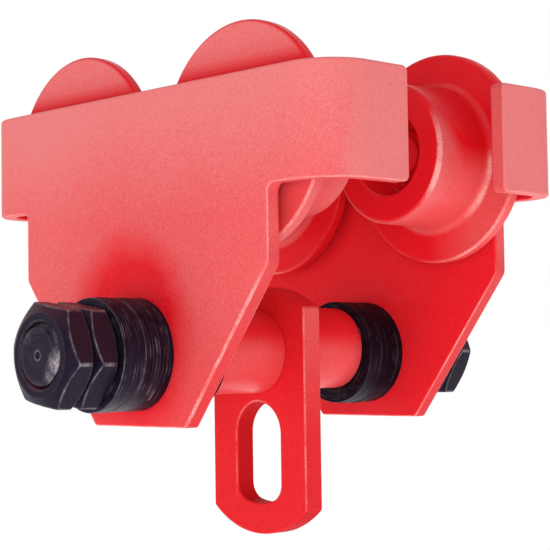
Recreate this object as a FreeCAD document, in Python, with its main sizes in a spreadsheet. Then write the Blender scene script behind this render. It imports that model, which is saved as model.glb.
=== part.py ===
import FreeCAD, Part
import math
import os

import Sketcher

# A push-travel beam trolley.  Two bent side plates hang on four flanged wheels, which run on the lower flange
# of a beam.  A load bolt joins the plates and carries a slotted hanger plate for the hook of a hoist.
#
# Millimetres.  +X runs along the beam, +Y across it and +Z up.  The origin lies on the running plane, which is
# the underside of the wheel treads, midway between the four wheels.

# Driving dimensions
SIZES = {
    # Side plates
    "plate_thickness": 8.0,
    "plate_height": 161.0,
    "arm_span": 262.0,
    "arm_height": 52.0,
    "bumper_depth": 50.0,
    "bumper_corner_radius": 3.0,
    "bend_radius": 16.0,
    "body_width": 182.0,
    "side_drop": 35.5,
    "foot_width": 69.0,
    "notch_radius": 4.0,
    "shoulder_radius": 6.0,
    "foot_radius": 2.5,
    "plate_edge_radius": 1.2,
    "bolt_to_foot": 34.5,
    "axle_to_top": 27.3,
    # Load bolt and the stack of pieces on it
    "bolt_diameter": 30.0,
    "bolt_stand_out": 1.0,
    "bolt_chamfer": 2.2,
    "centre_mark_diameter": 4.0,
    "centre_mark_depth": 1.6,
    "bolt_clearance": 0.3,
    "tube_diameter": 42.4,
    "tube_wall": 3.2,
    "tube_length": 44.4,
    "tube_chamfer": 0.6,
    "washer_diameter": 54.0,
    "washer_thickness": 4.2,
    "washer_chamfer": 0.35,
    "inner_washer_count": 6,
    "front_washer_count": 7,
    "rear_washer_count": 6,
    # Hexagon nuts
    "nut_width": 46.0,
    "nut_thickness": 14.0,
    "nut_face_diameter": 42.0,
    "nut_corner_drop": 3.2,
    "lock_nut_face_diameter": 39.0,
    "lock_nut_corner_drop": 4.1,
    "nut_mouth_chamfer": 1.2,
    "front_nut_turn_angle": 10.0,
    "rear_nut_turn_angle": 0.0,
    "thread_clearance": 0.05,
    # Hanger plate
    "hanger_thickness": 11.6,
    "hanger_width": 68.4,
    "hanger_rise": 22.4,
    "hanger_drop": 78.5,
    "hanger_end_radius": 51.0,
    "hanger_top_radius": 56.0,
    "hanger_corner_radius": 2.5,
    "hanger_edge_radius": 1.2,
    "hook_slot_width": 31.6,
    "hook_slot_top_drop": 25.0,
    "hook_slot_length": 51.0,
    "hook_slot_seat_radius": 34.0,
    "hook_slot_corner_radius": 9.0,
    "hanger_side_clearance": 0.1,
    "pivot_clearance": 0.08,
    # Track wheels
    "wheel_to_plate": 3.7,
    "wheel_to_bumper": 8.5,
    "wheel_to_wheel": 13.0,
    "wheel_flange_thickness": 6.9,
    "wheel_flange_radius": 1.8,
    "hub_wall": 15.0,
    "tread_width": 36.6,
    "tread_taper": 0.6,
    "tread_root_radius": 4.0,
    "tread_front_radius": 3.0,
    "wheel_lip_thickness": 4.0,
    "wheel_lip_diameter": 36.6,
    "wheel_mouth_chamfer": 1.2,
    # Stub axles
    "axle_collar_diameter": 26.4,
    "axle_tail_diameter": 18.0,
    "axle_tail_flare": 1.5,
    "axle_stand_out": 4.0,
    "axle_tail_clearance": 0.05,
    "axle_chamfer": 1.0,
    # Ball bearings
    "bearing_bore": 20.0,
    "bearing_diameter": 42.0,
    "bearing_width": 12.0,
    "bearing_chamfer": 0.8,
    "outer_ring_land_diameter": 35.4,
    "inner_ring_land_diameter": 26.6,
    "ball_pitch_diameter": 31.0,
    "ball_diameter": 6.35,
    "ball_count": 9,
    "ball_clearance": 0.05,
    "cage_width": 8.2,
    "cage_wall": 2.0,
    "cage_clearance": 0.1,
    "shield_thickness": 0.6,
    "shield_inset": 0.8,
    "shield_clearance": 0.3,
    "seat_clearance": 0.02,
    # Circlips
    "clip_side_clearance": 0.05,
    "wheel_clip_thickness": 1.75,
    "wheel_clip_wall": 3.4,
    "wheel_clip_groove_depth": 1.25,
    "wheel_clip_gap": 9.0,
    "wheel_clip_lug_diameter": 5.0,
    "axle_clip_thickness": 1.2,
    "axle_clip_wall": 2.6,
    "axle_clip_groove_depth": 0.5,
    "axle_clip_gap": 2.4,
    "axle_clip_lug_diameter": 4.0,
    "clip_hole_diameter": 1.9,
    "clip_fit_clearance": 0.1,
    # Length by which every cut runs past the solid that it cuts
    "overrun": 5.0,
}

# Sizes that follow from the driving ones
DERIVED = {
    "wheel_flange_diameter": "=(arm_span - wheel_to_wheel) / 2 - plate_thickness - wheel_to_bumper",
    "wheel_base": "=wheel_flange_diameter + wheel_to_wheel",
    "tread_diameter": "=bearing_diameter + 2 * hub_wall",
    "axle_height": "=tread_diameter / 2",
    "bolt_drop": "=plate_height - axle_to_top - bolt_to_foot",
    "bolt_height": "=axle_height - bolt_drop",
    "plate_bottom": "=bolt_height - bolt_to_foot",
    "half_gap": "=hanger_thickness / 2 + hanger_side_clearance + tube_length"
                " + inner_washer_count * washer_thickness",
    "outer_face": "=half_gap + plate_thickness",
    "front_nut_seat": "=outer_face + front_washer_count * washer_thickness",
    "rear_nut_seat": "=outer_face + rear_washer_count * washer_thickness",
    "bolt_half_length": "=front_nut_seat + 2 * nut_thickness + bolt_stand_out",
    "bolt_hole_radius": "=bolt_diameter / 2 + bolt_clearance",
    "tube_bore_radius": "=tube_diameter / 2 - tube_wall",
    "front_tube_lift": "=0.35 * (tube_bore_radius - bolt_hole_radius)",
    "rear_tube_lift": "=0.9 * (tube_bore_radius - bolt_hole_radius)",
    "axle_hole_radius": "=axle_tail_diameter / 2 + axle_tail_clearance",
    "nut_corner_radius": "=nut_width / sqrt(3)",
    "hanger_crown": "=sqrt(hanger_end_radius ^ 2 - (hanger_width / 2) ^ 2)",
    "hanger_top_crown": "=sqrt(hanger_top_radius ^ 2 - (hanger_width / 2) ^ 2)",
    "hook_slot_crown": "=sqrt(hook_slot_seat_radius ^ 2 - (hook_slot_width / 2) ^ 2)",
    "wheel_width": "=wheel_flange_thickness + tread_width",
    "bearing_seat": "=wheel_to_plate + wheel_lip_thickness",
    "clip_seat": "=bearing_seat + 2 * bearing_width",
    "ball_pocket_radius": "=ball_diameter / 2 + cage_clearance",
}

COLUMNS = {"name": "A", "value": "B"}
SMOOTH_ANGLE = 10.0
MATCH_SHARE = 1e-4

doc = FreeCAD.newDocument("beam_trolley")
sheet = doc.addObject("Spreadsheet::Sheet", "dim")
for row, (alias, content) in enumerate({**SIZES, **DERIVED}.items(), start=1):
    sheet.set(COLUMNS["name"] + str(row), alias)
    sheet.set(COLUMNS["value"] + str(row), str(content))
    sheet.setAlias(COLUMNS["value"] + str(row), alias)
doc.recompute()

AXES = {
    "x": FreeCAD.Vector(1, 0, 0),
    "y": FreeCAD.Vector(0, 1, 0),
    "z": FreeCAD.Vector(0, 0, 1),
}
TO_REAR = FreeCAD.Rotation(AXES["x"], -90)
TO_FRONT = FreeCAD.Rotation(AXES["x"], 90)
HALF_TURN = FreeCAD.Rotation(AXES["z"], 180)
NO_TURN = FreeCAD.Rotation()


def value(expression):
    """Number that an expression in sheet names gives."""
    return float(sheet.evalExpression(expression))


def bind(feature, **expressions):
    """Tie properties of a feature to expressions."""
    for name, expression in expressions.items():
        feature.setExpression(name, expression)


def place(feature, rotation=NO_TURN, x="0", y="0", z="0"):
    """Turn a feature and tie its position to expressions."""
    feature.Placement = FreeCAD.Placement(FreeCAD.Vector(), rotation)
    for axis, expression in zip("xyz", (x, y, z)):
        feature.setExpression("Placement.Base." + axis, expression)
    return feature


def new_sketch(body, name, plane):
    """Empty sketch on one of a body's own origin planes."""
    sketch = body.newObject("Sketcher::SketchObject", name)
    support = next(part for part in body.Origin.OriginFeatures if part.Role == plane)
    sketch.AttachmentSupport = (support, [""])
    sketch.MapMode = "FlatFace"
    return sketch


def pin(sketch, geometry, vertex, x=None, y=None):
    """Tie the place of one vertex of a sketch to expressions."""
    for kind, axis, expression in (("DistanceX", -2, x), ("DistanceY", -1, y)):
        if expression is None:
            continue
        if expression == "0":
            sketch.addConstraint(Sketcher.Constraint("PointOnObject", geometry, vertex, axis))
            continue
        index = sketch.addConstraint(Sketcher.Constraint(kind, geometry, vertex, value(expression)))
        sketch.setExpression("Constraints[%d]" % index, expression)


def outline(body, name, plane, *loops):
    """Sketch of closed straight-sided loops, each a list of corners given as pairs of expressions."""
    sketch = new_sketch(body, name, plane)
    first = 0
    for corners in loops:
        points = [FreeCAD.Vector(value(x), value(y), 0) for x, y in corners]
        lines = [Part.LineSegment(a, b) for a, b in zip(points, points[1:] + points[:1])]
        sketch.addGeometry(lines, False)
        count = len(corners)
        joints = []
        for line in range(count):
            following = first + (line + 1) % count
            joints.append(Sketcher.Constraint("Coincident", first + line, 2, following, 1))
        sketch.addConstraint(joints)
        for line, (x, y) in enumerate(corners):
            pin(sketch, first + line, 1, x, y)
        first += count
    return sketch


def circles(body, name, plane, rounds):
    """Sketch of circles, each given as expressions for its centre and its radius."""
    sketch = new_sketch(body, name, plane)
    for index, (x, y, radius) in enumerate(rounds):
        centre = FreeCAD.Vector(value(x), value(y), 0)
        sketch.addGeometry(Part.Circle(centre, AXES["z"], value(radius)), False)
        pin(sketch, index, 3, x, y)
        size = sketch.addConstraint(Sketcher.Constraint("Radius", index, value(radius)))
        sketch.setExpression("Constraints[%d]" % size, radius)
    return sketch


def arched(body, name, half_width, low, low_centre, high, high_centre):
    """Sketch of two upright sides joined by an arc below and one above, both centred on the upright axis."""
    sketch = new_sketch(body, name, "XZ_Plane")
    wide, bottom, top = value(half_width), value(low), value(high)
    corners = [
        FreeCAD.Vector(wide, bottom, 0),
        FreeCAD.Vector(wide, top, 0),
        FreeCAD.Vector(-wide, top, 0),
        FreeCAD.Vector(-wide, bottom, 0),
    ]
    sketch.addGeometry(Part.LineSegment(corners[0], corners[1]), False)
    sketch.addGeometry(arc_about(value(high_centre), corners[1], corners[2]), False)
    sketch.addGeometry(Part.LineSegment(corners[2], corners[3]), False)
    sketch.addGeometry(arc_about(value(low_centre), corners[3], corners[0]), False)
    for line in range(len(corners)):
        following = (line + 1) % len(corners)
        sketch.addConstraint(Sketcher.Constraint("Coincident", line, 2, following, 1))
    pin(sketch, 0, 1, half_width, low)
    pin(sketch, 0, 2, half_width, high)
    pin(sketch, 2, 1, "-(%s)" % half_width, high)
    pin(sketch, 2, 2, "-(%s)" % half_width, low)
    pin(sketch, 1, 3, y=high_centre)
    pin(sketch, 3, 3, y=low_centre)
    return sketch


def arc_about(centre_height, start, end):
    """Arc from start to end, counterclockwise about a point of the upright axis."""
    centre = FreeCAD.Vector(0, centre_height, 0)
    circle = Part.Circle(centre, AXES["z"], start.distanceToPoint(centre))
    first = math.atan2(start.y - centre_height, start.x)
    last = math.atan2(end.y - centre_height, end.x)
    return Part.ArcOfCircle(circle, first, last)


def feature_of(body, kind, name, profile, **expressions):
    """Sketch-based feature of a body, with its sizes tied to expressions."""
    feature = body.newObject("PartDesign::" + kind, name)
    feature.Profile = profile
    bind(feature, **expressions)
    return feature


def cut_through(body, name, profile):
    """Pocket that goes right through a body both ways from its sketch."""
    pocket = feature_of(body, "Pocket", name, profile)
    pocket.Type = "ThroughAll"
    pocket.SideType = "Symmetric"
    doc.recompute()
    return pocket


def turned(name, profile):
    """Body turned about its own Z axis, from corners given as radius and height."""
    body = doc.addObject("PartDesign::Body", name)
    sketch = outline(body, name + "_profile", "XZ_Plane", profile)
    revolution = feature_of(body, "Revolution", name + "_turned", sketch)
    revolution.ReferenceAxis = (sketch, ["V_Axis"])
    revolution.Angle = 360
    return body


def dress(body, kind, name, edges, size_name, expression):
    """Fillet or chamfer on named edges of a body's last feature."""
    feature = body.newObject("PartDesign::" + kind, name)
    feature.Base = (feature.BaseFeature, edges)
    feature.setExpression(size_name, expression)
    doc.recompute()
    return feature


def tip_shape(body):
    """Shape of a body's last feature, in the body's own frame."""
    doc.recompute()
    return body.Tip.Shape


def straight_edges(body, axis, places):
    """Names of a body's straight edges that run along an axis through one of the places across it."""
    across = [name for name in "xyz" if name != axis]
    shape = tip_shape(body)
    reach = shape.BoundBox.DiagonalLength * MATCH_SHARE
    names = []
    for index, edge in enumerate(shape.Edges, start=1):
        if not isinstance(edge.Curve, Part.Line) or abs(edge.Curve.Direction.dot(AXES[axis])) < 1 - MATCH_SHARE:
            continue
        middle = edge.CenterOfMass
        for place_across in places:
            offsets = [getattr(middle, name) - spot for name, spot in zip(across, place_across)]
            if max(abs(offset) for offset in offsets) < reach:
                names.append("Edge%d" % index)
    return names


def round_edges(body, rounds):
    """Names of a body's circular edges about Z that have one of the given radii and heights."""
    shape = tip_shape(body)
    reach = shape.BoundBox.DiagonalLength * MATCH_SHARE
    names = []
    for index, edge in enumerate(shape.Edges, start=1):
        if not isinstance(edge.Curve, Part.Circle):
            continue
        for radius, height in rounds:
            near = max(abs(edge.Curve.Radius - value(radius)), abs(edge.Curve.Center.z - value(height)))
            if near < reach:
                names.append("Edge%d" % index)
    return names


def sharp_edges(body):
    """Names of the edges of a body where its two faces meet at an angle."""
    shape = tip_shape(body)
    names = []
    for index, edge in enumerate(shape.Edges, start=1):
        middle = edge.valueAt((edge.FirstParameter + edge.LastParameter) / 2)
        normals = []
        for face in shape.ancestorsOfType(edge, Part.Face):
            normals.append(face.normalAt(*face.Surface.parameter(middle)))
        if len(normals) == 2 and math.degrees(normals[0].getAngle(normals[1])) > SMOOTH_ANGLE:
            names.append("Edge%d" % index)
    return names


def group(label, members):
    """Node that holds several separate solids."""
    compound = doc.addObject("Part::Compound", label)
    compound.Links = members
    return compound


def primitive(kind, name, **expressions):
    """Part primitive with its sizes tied to expressions."""
    solid = doc.addObject("Part::" + kind, name)
    bind(solid, **expressions)
    return solid


def cut(name, base, tool):
    """Base less tool."""
    result = doc.addObject("Part::Cut", name)
    result.Base = base
    result.Tool = tool
    return result


def side_plate(name):
    """T-shaped plate: inner face at y = 0, lower edge at z = 0, both arm ends bent inward to +Y."""
    body = doc.addObject("PartDesign::Body", name)
    reach = "dim.arm_span / 2"
    inside = "(dim.arm_span / 2 - dim.plate_thickness)"
    face = "-dim.plate_thickness"
    end = "dim.bumper_depth - dim.plate_thickness"
    plan = outline(body, name + "_plan", "XY_Plane", [
        ("-" + reach, face), (reach, face), (reach, end), (inside, end),
        (inside, "0"), ("-" + inside, "0"), ("-" + inside, end), ("-" + reach, end),
    ])
    feature_of(body, "Pad", name + "_strip", plan, Length="dim.plate_height")
    span, depth = value(reach), value(face)
    outer_bends = straight_edges(body, "z", [(span, depth), (-span, depth)])
    dress(body, "Fillet", name + "_outer_bends", outer_bends, "Radius", "dim.bend_radius + dim.plate_thickness")
    inner_bends = straight_edges(body, "z", [(value(inside), 0), (-value(inside), 0)])
    dress(body, "Fillet", name + "_inner_bends", inner_bends, "Radius", "dim.bend_radius")

    waist = "dim.body_width / 2"
    foot = "dim.foot_width / 2"
    beyond = "(dim.arm_span / 2 + dim.overrun)"
    arm_low = "dim.plate_height - dim.arm_height"
    shoulder = "dim.plate_height - dim.arm_height - dim.side_drop"
    right = [
        (waist, arm_low), (beyond, arm_low), (beyond, "-dim.overrun"),
        (foot, "-dim.overrun"), (foot, "0"), (waist, shoulder),
    ]
    left = [("-" + x, z) for x, z in right]
    cut_through(body, name + "_shaped", outline(body, name + "_front", "XZ_Plane", right, left))
    for corner, x, z, radius in (
        ("notches", waist, arm_low, "dim.notch_radius"),
        ("shoulders", waist, shoulder, "dim.shoulder_radius"),
        ("feet", foot, "0", "dim.foot_radius"),
    ):
        edges = straight_edges(body, "y", [(value(x), value(z)), (-value(x), value(z))])
        dress(body, "Fillet", name + "_" + corner, edges, "Radius", radius)
    free_end = value(end)
    bumper_tips = straight_edges(body, "x", [(free_end, value(arm_low)), (free_end, value("dim.plate_height"))])
    dress(body, "Fillet", name + "_bumper_tips", bumper_tips, "Radius", "dim.bumper_corner_radius")
    dress(body, "Fillet", name + "_edges", sharp_edges(body), "Radius", "dim.plate_edge_radius")

    bolt_hole = ("0", "dim.bolt_to_foot", "dim.bolt_hole_radius")
    axle_level = "dim.bolt_to_foot + dim.bolt_drop"
    axle_holes = [(sign + "dim.wheel_base / 2", axle_level, "dim.axle_hole_radius") for sign in ("", "-")]
    cut_through(body, name + "_holes", circles(body, name + "_hole_plan", "XZ_Plane", [bolt_hole] + axle_holes))
    shape = tip_shape(body)
    rims = []
    for index, edge in enumerate(shape.Edges, start=1):
        if not isinstance(edge.Curve, Part.Circle) or not edge.Closed:
            continue
        small = edge.Curve.Radius < (value("dim.axle_hole_radius") + value("dim.bolt_hole_radius")) / 2
        if small and edge.Curve.Center.y < depth / 2:
            rims.append("Edge%d" % index)
    dress(body, "Chamfer", name + "_flared_holes", rims, "Size", "dim.axle_tail_flare")
    return body


def load_bolt(name):
    """Round bar through the whole trolley, with chamfered ends and a centre mark in each."""
    half = "dim.bolt_half_length"
    radius = "dim.bolt_diameter / 2"
    end = [
        ("0", half + " - dim.centre_mark_depth"),
        ("dim.centre_mark_diameter / 2", half),
        (radius + " - dim.bolt_chamfer", half),
        (radius, half + " - dim.bolt_chamfer"),
    ]
    other_end = [(r, "-(%s)" % z) for r, z in reversed(end)]
    return turned(name, end + other_end)


def bevelled_ring(name, bore, radius, start, length, chamfer):
    """Plain ring with its outer rims chamfered."""
    stop = "%s + %s" % (start, length)
    return turned(name, [
        (bore, start), (radius + " - " + chamfer, start), (radius, "%s + %s" % (start, chamfer)),
        (radius, "%s - %s" % (stop, chamfer)), (radius + " - " + chamfer, stop), (bore, stop),
    ])


def washer_stack(label, count, start):
    """Washers face to face along the bolt, from a distance outward from the middle."""
    washers = []
    for index in range(count):
        washers.append(bevelled_ring(
            "%s_%d" % (label, index + 1), "dim.bolt_hole_radius", "dim.washer_diameter / 2",
            "%s + %d * dim.washer_thickness" % (start, index), "dim.washer_thickness", "dim.washer_chamfer",
        ))
    return group(label, washers)


def hexagon_nut(name, start, top_face, top_drop):
    """Thin nut with bevelled corners, standing on the given distance along its axis."""
    body = doc.addObject("PartDesign::Body", name)
    corner = "dim.nut_corner_radius"
    flat = "dim.nut_width / 2"
    hexagon = outline(body, name + "_hexagon", "XY_Plane", [
        (corner, "0"), (corner + " / 2", flat), ("-" + corner + " / 2", flat),
        ("-" + corner, "0"), ("-" + corner + " / 2", "-" + flat), (corner + " / 2", "-" + flat),
    ])
    hexagon.setExpression("AttachmentOffset.Base.z", start)
    feature_of(body, "Pad", name + "_blank", hexagon, Length="dim.nut_thickness")
    face = "dim.nut_face_diameter / 2"
    beyond = "(dim.nut_corner_radius + dim.overrun)"
    slope = "%s * (" + beyond + " - %s) / (dim.nut_corner_radius - %s)"
    rise = slope % ("dim.nut_corner_drop", face, face)
    fall = slope % (top_drop, top_face, top_face)
    top = start + " + dim.nut_thickness"
    bevels = outline(
        body, name + "_bevels", "XZ_Plane",
        [(top_face, top), (beyond, top), (beyond, "%s - %s" % (top, fall))],
        [(face, start), (beyond, "%s + %s" % (start, rise)), (beyond, start)],
    )
    groove = feature_of(body, "Groove", name + "_bevelled", bevels)
    groove.ReferenceAxis = (bevels, ["V_Axis"])
    groove.Angle = 360
    doc.recompute()
    bore = "dim.bolt_diameter / 2 + dim.thread_clearance"
    cut_through(body, name + "_bored", circles(body, name + "_bore", "XY_Plane", [("0", "0", bore)]))
    mouths = round_edges(body, [(bore, start), (bore, top)])
    dress(body, "Chamfer", name + "_mouths", mouths, "Size", "dim.nut_mouth_chamfer")
    return body


def hanger_plate(name):
    """Centre plate that swings on the bolt, with rounded ends and a long slot for the hook."""
    body = doc.addObject("PartDesign::Body", name)
    low = "-dim.hanger_drop"
    high = "dim.hanger_rise"
    blank = arched(
        body, name + "_outline", "dim.hanger_width / 2",
        low, low + " + dim.hanger_crown", high, high + " - dim.hanger_top_crown",
    )
    pad = feature_of(body, "Pad", name + "_blank", blank, Length="dim.hanger_thickness")
    pad.SideType = "Symmetric"
    doc.recompute()
    ends = [(value(side), value(end)) for side in ("dim.hanger_width / 2", "-dim.hanger_width / 2")
            for end in (low, high)]
    dress(body, "Fillet", name + "_corners", straight_edges(body, "y", ends), "Radius", "dim.hanger_corner_radius")
    slot_end = "dim.hook_slot_width / 2"
    slot_top = "-dim.hook_slot_top_drop - " + slot_end
    seat_centre = "dim.hook_slot_seat_radius - dim.hook_slot_top_drop - dim.hook_slot_length"
    seat_end = seat_centre + " - dim.hook_slot_crown"
    slot = arched(body, name + "_slot", slot_end, seat_end, seat_centre, slot_top, slot_top)
    cut_through(body, name + "_slotted", slot)
    seat_ends = [(sign * value(slot_end), value(seat_end)) for sign in (1, -1)]
    seat_edges = straight_edges(body, "y", seat_ends)
    dress(body, "Fillet", name + "_seat_ends", seat_edges, "Radius", "dim.hook_slot_corner_radius")
    dress(body, "Fillet", name + "_edges", sharp_edges(body), "Radius", "dim.hanger_edge_radius")
    bore = "dim.bolt_diameter / 2 + dim.pivot_clearance"
    cut_through(body, name + "_bored", circles(body, name + "_bore", "XZ_Plane", [("0", "0", bore)]))
    return body


def track_wheel(name):
    """Flanged wheel on its axle's Z axis, counted from the inner face of the side plate."""
    back = "dim.wheel_to_plate"
    rim = "dim.wheel_to_plate + dim.wheel_flange_thickness"
    front = "dim.wheel_to_plate + dim.wheel_width"
    flange = "dim.wheel_flange_diameter / 2"
    tread = "dim.tread_diameter / 2"
    nose = "dim.tread_diameter / 2 - dim.tread_taper"
    bore = "dim.bearing_diameter / 2"
    lip = "dim.wheel_lip_diameter / 2"
    groove = "dim.bearing_diameter / 2 + dim.wheel_clip_groove_depth"
    groove_end = "dim.clip_seat + dim.wheel_clip_thickness + 2 * dim.clip_side_clearance"
    body = turned(name, [
        (lip, back), (flange, back), (flange, rim), (tread, rim), (nose, front), (bore, front),
        (bore, groove_end), (groove, groove_end), (groove, "dim.clip_seat"), (bore, "dim.clip_seat"),
        (bore, "dim.bearing_seat"), (lip, "dim.bearing_seat"),
    ])
    for feature, kind, size_name, size, rounds in (
        ("root", "Fillet", "Radius", "dim.tread_root_radius", [(tread, rim)]),
        ("nose", "Fillet", "Radius", "dim.tread_front_radius", [(nose, front)]),
        ("rim", "Fillet", "Radius", "dim.wheel_flange_radius", [(flange, back), (flange, rim)]),
        ("mouth", "Chamfer", "Size", "dim.wheel_mouth_chamfer", [(bore, front)]),
    ):
        dress(body, kind, name + "_" + feature, round_edges(body, rounds), size_name, size)
    return body


def stub_axle(name):
    """Shouldered axle: tail flared flush into the plate, collar against it, journal, clip groove and nose."""
    tail = "dim.axle_tail_diameter / 2"
    collar = "dim.axle_collar_diameter / 2"
    journal = "dim.bearing_bore / 2 - dim.seat_clearance"
    groove = "dim.bearing_bore / 2 - dim.axle_clip_groove_depth"
    groove_end = "dim.clip_seat + dim.axle_clip_thickness + 2 * dim.clip_side_clearance"
    nose = "dim.clip_seat + dim.axle_stand_out"
    return turned(name, [
        ("0", "-dim.plate_thickness"), (tail + " + dim.axle_tail_flare", "-dim.plate_thickness"),
        (tail, "dim.axle_tail_flare - dim.plate_thickness"), (tail, "0"), (collar, "0"),
        (collar, "dim.bearing_seat"), (journal, "dim.bearing_seat"), (journal, "dim.clip_seat"),
        (groove, "dim.clip_seat"), (groove, groove_end), (journal, groove_end),
        (journal, nose + " - dim.axle_chamfer"), (journal + " - dim.axle_chamfer", nose), ("0", nose),
    ])


def bearing_start(index):
    """Expression for the near face of a wheel's first or second bearing."""
    return "dim.bearing_seat + %d * dim.bearing_width" % index


def bearing_middle(index):
    """Expression for the mid plane of a wheel's first or second bearing."""
    return bearing_start(index) + " + dim.bearing_width / 2"


def raced_ring(name, index, inner, outer, chamfered):
    """Bearing ring with its ball race; chamfered is the side, inner or outer, that meets its seat."""
    start = bearing_start(index)
    stop = start + " + dim.bearing_width"
    chamfer = "dim.bearing_chamfer"
    if chamfered == "outer":
        profile = [
            (inner, start), (outer + " - " + chamfer, start), (outer, start + " + " + chamfer),
            (outer, stop + " - " + chamfer), (outer + " - " + chamfer, stop), (inner, stop),
        ]
    else:
        profile = [
            (outer, start), (outer, stop), (inner + " + " + chamfer, stop), (inner, stop + " - " + chamfer),
            (inner, start + " + " + chamfer), (inner + " + " + chamfer, start),
        ]
    blank = turned(name + "_blank", profile)
    race = primitive(
        "Torus", name + "_race",
        Radius1="dim.ball_pitch_diameter / 2", Radius2="dim.ball_diameter / 2 + dim.ball_clearance",
    )
    place(race, z=bearing_middle(index))
    return cut(name, blank, race)


def outer_rings(label):
    """Outer rings of a wheel's two bearings."""
    return group(label, [
        raced_ring(
            "%s_%d" % (label, index + 1), index, "dim.outer_ring_land_diameter / 2",
            "dim.bearing_diameter / 2 - dim.seat_clearance", "outer",
        ) for index in range(2)
    ])


def inner_rings(label):
    """Inner rings of a wheel's two bearings."""
    return group(label, [
        raced_ring(
            "%s_%d" % (label, index + 1), index, "dim.bearing_bore / 2",
            "dim.inner_ring_land_diameter / 2", "inner",
        ) for index in range(2)
    ])


def around(piece, spot, radius, height):
    """Set a piece at one ball's place round the bearing, with its own Z axis pointing outward."""
    step = 360 / SIZES["ball_count"]
    outward = FreeCAD.Rotation(AXES["z"], spot * step).multiply(FreeCAD.Rotation(AXES["y"], 90))
    angle = "%d * 360 deg / dim.ball_count" % spot
    return place(piece, outward, x="%s * cos(%s)" % (radius, angle), y="%s * sin(%s)" % (radius, angle), z=height)


def bearing_balls(label):
    """Balls of a wheel's two bearings, evenly spaced on their pitch circles."""
    balls = []
    for index in range(2):
        for spot in range(SIZES["ball_count"]):
            name = "%s_row_%d_%d" % (label, index + 1, spot + 1)
            ball = primitive("Sphere", name, Radius="dim.ball_diameter / 2")
            balls.append(around(ball, spot, "dim.ball_pitch_diameter / 2", bearing_middle(index)))
    return group(label, balls)


def bearing_cages(label):
    """Cages of a wheel's two bearings, each a ring with a pocket for every ball."""
    cages = []
    for index in range(2):
        name = "%s_%d" % (label, index + 1)
        low = bearing_middle(index) + " - dim.cage_width / 2"
        high = bearing_middle(index) + " + dim.cage_width / 2"
        inner = "dim.ball_pitch_diameter / 2 - dim.cage_wall / 2"
        outer = "dim.ball_pitch_diameter / 2 + dim.cage_wall / 2"
        ring = turned(name + "_ring", [(inner, low), (outer, low), (outer, high), (inner, high)])
        pockets = []
        for spot in range(SIZES["ball_count"]):
            pocket = primitive(
                "Cylinder", "%s_pocket_%d" % (name, spot + 1),
                Radius="dim.ball_pocket_radius", Height="dim.cage_wall + 2 * dim.overrun",
            )
            pockets.append(around(pocket, spot, "(%s - dim.overrun)" % inner, bearing_middle(index)))
        cages.append(cut(name, ring, group(name + "_pockets", pockets)))
    return group(label, cages)


def bearing_shields(label):
    """Thin discs that close both sides of a wheel's two bearings, held in the outer rings."""
    shields = []
    inner = "dim.inner_ring_land_diameter / 2 + dim.shield_clearance"
    outer = "dim.outer_ring_land_diameter / 2 - dim.seat_clearance"
    for index in range(2):
        near = bearing_start(index) + " + dim.shield_inset"
        far = bearing_start(index + 1) + " - dim.shield_inset - dim.shield_thickness"
        for side, low in (("near", near), ("far", far)):
            high = low + " + dim.shield_thickness"
            name = "%s_%d_%s" % (label, index + 1, side)
            shields.append(turned(name, [(inner, low), (outer, low), (outer, high), (inner, high)]))
    return group(label, shields)


def circlip(name, inner, outer, thickness, gap, lug_circle, lug_diameter):
    """Spring ring with a gap on its +X side, a lug beside each end of the gap and a hole in each lug."""
    disc = primitive("Cylinder", name + "_disc", Radius=outer, Height=thickness)
    hollow = primitive("Cylinder", name + "_hollow", Radius=inner, Height=thickness)
    ring = cut(name + "_ring", disc, hollow)
    lugs, holes = [], []
    for side, sign in (("upper", ""), ("lower", "-")):
        offset = "%s(%s + %s) / 2" % (sign, gap, lug_diameter)
        lug = primitive("Cylinder", name + "_lug_" + side, Radius=lug_diameter + " / 2", Height=thickness)
        lugs.append(place(lug, x=lug_circle, y=offset))
        hole = primitive(
            "Cylinder", name + "_hole_" + side, Radius="dim.clip_hole_diameter / 2", Height=thickness,
        )
        holes.append(place(hole, x=lug_circle, y=offset))
    lugged = doc.addObject("Part::MultiFuse", name + "_lugged")
    lugged.Shapes = [ring] + lugs
    opening = primitive("Box", name + "_opening", Length=outer + " + dim.overrun", Width=gap, Height=thickness)
    place(opening, y="-(%s) / 2" % gap)
    return cut(name, lugged, group(name + "_cuts", [opening] + holes))


def wheel_circlip(label):
    """Internal ring in the groove of the wheel's bore, with its lugs inward."""
    outer = "(dim.bearing_diameter / 2 + dim.wheel_clip_groove_depth - dim.clip_fit_clearance)"
    inner = "(dim.bearing_diameter / 2 + dim.wheel_clip_groove_depth - dim.wheel_clip_wall)"
    lug_reach = "(%s - dim.clip_fit_clearance - dim.wheel_clip_lug_diameter / 2)" % outer
    lug_offset = "((dim.wheel_clip_gap + dim.wheel_clip_lug_diameter) / 2)"
    lug_circle = "sqrt(%s ^ 2 - %s ^ 2)" % (lug_reach, lug_offset)
    clip = circlip(
        label + "_ring", inner, outer, "dim.wheel_clip_thickness", "dim.wheel_clip_gap",
        lug_circle, "dim.wheel_clip_lug_diameter",
    )
    return group(label, [place(clip, z="dim.clip_seat + dim.clip_side_clearance")])


def axle_circlip(label):
    """External ring in the groove of the axle, with its lugs outward."""
    inner = "(dim.bearing_bore / 2 - dim.axle_clip_groove_depth + dim.clip_fit_clearance)"
    outer = "(dim.bearing_bore / 2 - dim.axle_clip_groove_depth + dim.axle_clip_wall)"
    clip = circlip(
        label + "_ring", inner, outer, "dim.axle_clip_thickness", "dim.axle_clip_gap",
        outer, "dim.axle_clip_lug_diameter",
    )
    return group(label, [place(clip, z="dim.clip_seat + dim.clip_side_clearance")])


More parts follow.
